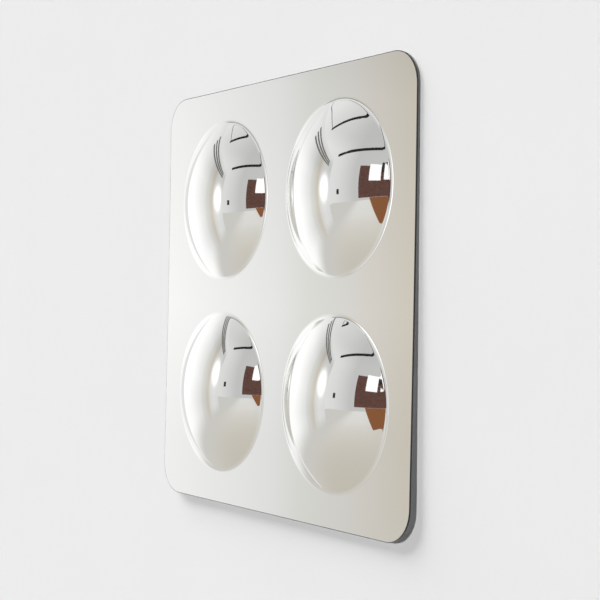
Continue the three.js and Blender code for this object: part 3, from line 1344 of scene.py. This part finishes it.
@dataclass(frozen=True)
class SoftSun:
    """A far, soft lamp that isn't itself seen in the mirror.

    azimuth and height say where it shines from, in degrees, and bounces how often its light carries on from
    the surface that the eye sees.
    """

    name: str
    azimuth: float
    height: float
    softness: float
    power: float
    bounces: int = 16

    def build(self) -> None:
        """Makes the lamp."""
        lamp = bpy.data.lights.new(self.name, "SUN")
        lamp.energy, lamp.angle = self.power, math.radians(self.softness)
        lamp.cycles.max_bounces = self.bounces
        made = add_object(self.name, lamp)
        azimuth, height = math.radians(self.azimuth), math.radians(self.height)
        level = math.cos(height)
        towards = Vector((math.sin(azimuth) * level, -math.cos(azimuth) * level, math.sin(height)))
        made.rotation_mode = "QUATERNION"
        made.rotation_quaternion = towards.to_track_quat("Z", "Y")
        made.visible_glossy = False


@dataclass
class Studio:
    """A pale wall and floor, soft light from in front and the upper left, and what the mirror reflects.

    The tones of the surroundings go by compass angle, and the heights above the horizon are in degrees.
    """

    wall_left: float = -1.7
    wall_right: float = 0.95
    floor: float = -1.15
    floor_span: float = 30.0
    wall_top: float = 1.35
    wall_gap: float = 0.0003
    screen_x: float = -1.9
    screen_top: float = 1.65
    rail_height: float = 1.55
    far: float = -7.5
    pale: float = 0.84
    behind: float = 0.8
    behind_from: tuple[float, float] = (-0.02, 0.08)
    fill: float = 0.10
    fill_behind: float = 0.06
    ceiling_from: tuple[float, float] = (24.0, 38.0)
    roof_from: tuple[float, float] = (60.0, 66.0)
    roof: float = 0.16

    def plane(self, name: str, corners: Sequence[Point], finish: Finish) -> bpy.types.Object:
        """Returns a four-sided face of the studio."""
        mesh = bpy.data.meshes.new(name)
        mesh.from_pydata(corners, [], [(0, 1, 2, 3)])
        mesh.materials.append(finish.material())
        made = add_object(name, mesh)
        return made

    @staticmethod
    def only_reflected(made: bpy.types.Object) -> None:
        """Hides a card from everything but reflections."""
        made.visible_camera = False
        made.visible_diffuse = False
        made.visible_shadow = False
        made.visible_transmission = False

    def backdrop(self) -> None:
        """Adds the wall, which is clear from behind, and the floor."""
        corners = upright(self.wall_left, self.wall_right, self.floor, self.wall_top, self.wall_gap)
        wall = self.plane("studio_wall", corners, Plaster("wall_plaster", grey(0.86), one_sided=True))
        wall.visible_shadow = False
        wall.visible_diffuse = False
        wall.visible_glossy = False
        corners = level(-self.floor_span, self.floor_span, -self.floor_span, self.floor_span, self.floor)
        floor = self.plane("studio_floor", corners, Plaster("floor_plaster", rgb(0.46, 0.455, 0.446)))
        floor.visible_diffuse = False
        floor.visible_glossy = False

    def cards(self) -> list[Card]:
        """Returns what the mirror sees: a side screen, a far brown wall, its windows and a timber floor."""
        x, bottom, top, run = self.screen_x, self.floor, self.screen_top, SideScreen().run
        screen = ((x, 0.0, bottom), (x, -run, bottom), (x, -run, top), (x, 0.0, top))
        near, foot = self.far + 0.06, self.far + 0.10
        sheen, mat = self.floor + 0.002, self.floor + 0.03
        timber = ((0.70, foot, -0.43), (3.15, foot, -0.43), (1.50, -3.05, mat), (0.74, -2.75, mat))
        white, dark_timber = Glow("window_light", grey(1.15)), Glow("dark_timber", rgb(0.07, 0.035, 0.03))
        return [
            Card("side_screen", screen, SideScreen()),
            Card("floor_sheen", level(-7.0, 6.0, -12.0, 0.0, sheen), FloorSheen()),
            Card("far_shade", upright(1.98, 2.28, 1.95, 3.05, near), Glow("dark_shade", grey(0.03))),
            Card("far_cabinet", upright(2.95, 4.6, -1.1, 1.0, -6.2), dark_timber),
            Card("far_wall", upright(-0.55, 3.15, -0.42, 2.62, self.far), BrickWall()),
            Card("far_window", upright(0.62, 1.95, 1.15, 2.78, near), white),
            Card("far_window_narrow", upright(2.32, 2.86, 1.25, 3.1, near), white),
            Card("far_stand", upright(-2.50, -2.22, 0.12, 0.46, -5.4), Glow("dark_stand", grey(0.03))),
            Card("floor_mat", timber, Glow("timber", rgb(0.26, 0.105, 0.045))),
        ]

    def rails(self) -> list[Rail]:
        """Returns the overhead rails and the pipe along the side screen."""
        black, dull = Glow("rail_black", grey(0.02)), Glow("pipe_grey", grey(0.15))
        x = self.screen_x + 0.05
        rails = []
        for i, (near, end) in enumerate(((1.26, 1.19), (1.36, 1.26), (1.46, 1.33))):
            route = ((x, -0.6, near), (x, -1.6, (near + end) / 2), (x, -2.6, end))
            rails.append(Rail(f"side_pipe_{i}", route, 0.045, dull))
        loop = ((-0.30, -0.70), (-0.48, -0.57), (-0.82, -0.34), (-1.39, -0.06), (-1.70, -0.04))
        loop += ((-1.40, -0.5), (-1.34, -1.05))
        for name, width, finish, plan in (
            ("near_rail", 0.065, black, ((-1.36, -1.08), (-0.8, -1.0), (-0.45, -0.96), (-0.18, -0.94))),
            ("near_hook", 0.045, black, ((-0.18, -0.96), (-0.22, -0.82), (-0.48, -0.57))),
            ("near_loop", 0.016, dull, loop),
            ("far_rail", 0.10, black, ((-1.36, -2.71), (-0.67, -2.5), (0.14, -2.36), (0.70, -2.21))),
            ("far_hook", 0.06, black, ((0.70, -2.24), (0.66, -1.84), (0.5, -1.48))),
            ("far_wire", 0.02, dull, ((0.5, -1.48), (0.28, -1.18), (0.03, -1.07))),
        ):
            rails.append(Rail(name, tuple((*at, self.rail_height) for at in plan), width, finish))
        return rails

    def dress(self) -> None:
        """Adds the cards and the rails."""
        for card in self.cards():
            self.only_reflected(self.plane(card.name, card.corners, card.finish))
        for rail in self.rails():
            curve = bpy.data.curves.new(rail.name, "CURVE")
            curve.dimensions, curve.bevel_depth = "3D", rail.width / 2
            spline = curve.splines.new("NURBS")
            spline.points.add(len(rail.route) - 1)
            spline.order_u, spline.use_endpoint_u = 3, True
            for point, at in zip(spline.points, rail.route):
                point.co = (*at, 1.0)
            curve.materials.append(rail.finish.material())
            made = add_object(rail.name, curve)
            self.only_reflected(made)

    def lamps(self) -> list[SoftSun]:
        """Returns the lamps: in front, broad from the upper left, and behind for the back alone."""
        return [
            SoftSun("front_light", azimuth=-4.0, height=9.0, softness=9.0, power=1.62),
            SoftSun("window_light_left", azimuth=-71.0, height=43.0, softness=42.0, power=4.62),
            SoftSun("back_light", azimuth=205.0, height=35.0, softness=70.0, power=3.2, bounces=0),
        ]

    def surroundings(self) -> None:
        """Sets the world: pale to the eye, an even fill to the light and an uneven room to reflections."""
        world = bpy.data.worlds.new("studio_room")
        bpy.context.scene.world = world
        world.use_nodes = True
        graph = Graph(world.node_tree)
        way = graph.node("ShaderNodeTexCoord").of("Generated")
        parts = graph.parts(way)
        x, y, z = parts.of("X"), parts.of("Y"), parts.of("Z")
        turn = x.angle_from(-y) * (1 / (2 * math.pi)) + 0.5
        low = {-110: 0.98, -44: 0.84, -34: 0.80, -26: 0.76, -18: 0.68, -10: 0.58, 60: 0.62}
        high = {-110: 0.86, -75: 0.84, -55: 0.75, -35: 0.68, -10: 0.56, 60: 0.54}
        walls, ceiling = graph.ramp(turn, around(low)), graph.ramp(turn, around(high))
        room = graph.blend(z.rise(*sines(self.ceiling_from)), walls, ceiling)
        room = graph.blend(z.rise(*sines(self.roof_from)), room, grey(self.roof))
        is_behind = y.rise(*self.behind_from)
        room = graph.blend(is_behind, room, grey(self.behind))
        fill = graph.blend(is_behind, grey(self.fill), grey(self.fill_behind))
        path = graph.node("ShaderNodeLightPath")
        seen = graph.blend(path.of("Is Diffuse Ray"), room, fill)
        seen = graph.blend(path.of("Is Camera Ray"), seen, grey(self.pale))
        graph.surface(graph.node("ShaderNodeBackground", None, {"Color": seen}), "ShaderNodeOutputWorld")

    def build(self) -> None:
        """Sets up the whole studio."""
        self.backdrop()
        self.dress()
        for lamp in self.lamps():
            lamp.build()
        self.surroundings()
        bpy.context.scene.view_settings.view_transform = "Standard"


def around(tones: Mapping[int, float]) -> list[tuple[float, Colour]]:
    """Returns ramp stops for tones by compass angle in degrees, from -180 to 180."""
    return [((angle + 180) / 360, grey(tone)) for angle, tone in sorted(tones.items())]


def sines(angles: tuple[float, float]) -> tuple[float, float]:
    """Returns the sines of two angles in degrees."""
    return math.sin(math.radians(angles[0])), math.sin(math.radians(angles[1]))


def upright(left: float, right: float, bottom: float, top: float, y: float) -> Corners:
    """Returns the corners of a rectangle that stands parallel to the wall."""
    return ((left, y, bottom), (right, y, bottom), (right, y, top), (left, y, top))


def level(left: float, right: float, front: float, back: float, z: float) -> Corners:
    """Returns the corners of a rectangle that lies flat."""
    return ((left, front, z), (right, front, z), (right, back, z), (left, back, z))


@dataclass
class ViewPoint:
    """The camera: as high as the mirror's middle and well to its right."""

    place: Point = (2.0335, -1.3574, -0.0125)
    aim: Point = (0.0667, 0.0, -0.0070)
    roll: float = 0.57
    lens: float = 82.0

    def build(self) -> None:
        """Makes the scene's camera."""
        data = bpy.data.cameras.new("camera")
        data.lens = self.lens
        camera = add_object("camera", data)
        place = Vector(self.place)
        facing = (Vector(self.aim) - place).to_track_quat("-Z", "Y").to_matrix().to_4x4()
        rolled = Matrix.Rotation(math.radians(self.roll), 4, "Z")
        camera.matrix_world = Matrix.Translation(place) @ facing @ rolled
        bpy.context.scene.camera = camera


def main() -> None:
    """Builds the studio and every piece."""
    logging.basicConfig(level=logging.INFO, format="%(message)s")
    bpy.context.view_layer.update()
    ViewPoint().build()
    Studio().build()
    pieces = [MirrorSheet().build()]
    for side in Side:
        pieces += HangingClip(side).build()
    for kind, prefix in ((ClipScrew, "clip_screw"), (ClipTape, "clip_tape"), (WallPlug, "wall_plug")):
        pieces += [kind(node).build() for node in nodes_of(prefix)]
    for side in ("left", "middle", "right"):
        pieces += WallBumper(side).build()
    for piece in pieces:
        log.info("%s: %d points, %d faces", piece.name, len(piece.data.vertices), len(piece.data.polygons))


if __name__ == "__main__":
    main()
